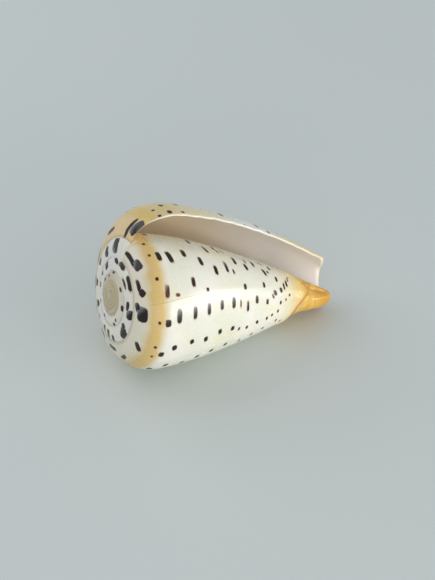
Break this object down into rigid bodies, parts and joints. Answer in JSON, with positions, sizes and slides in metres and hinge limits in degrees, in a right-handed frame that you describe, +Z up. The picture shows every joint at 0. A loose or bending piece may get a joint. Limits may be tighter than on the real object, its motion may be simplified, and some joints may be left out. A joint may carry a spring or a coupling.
{
  "type": "cone shell",
  "caption": "Large heavy cone shell with a low spire, long narrow mouth and spotted cream body, lying on its side.",
  "frame": {"origin": "on the surface that the shell lies on, below the middle of its bounding box", "axes": "+X along the shell from the spire towards the front tip, +Z up, +Y towards the far side, where the outer lip stands"},
  "size_m": [0.1034, 0.0666, 0.0714],
  "materials": {
    "shell": "polished natural shell, cream with dark spots"
  },
  "bodies": {
    "root": {"shell": "shell"}
  },
  "joints": []
}
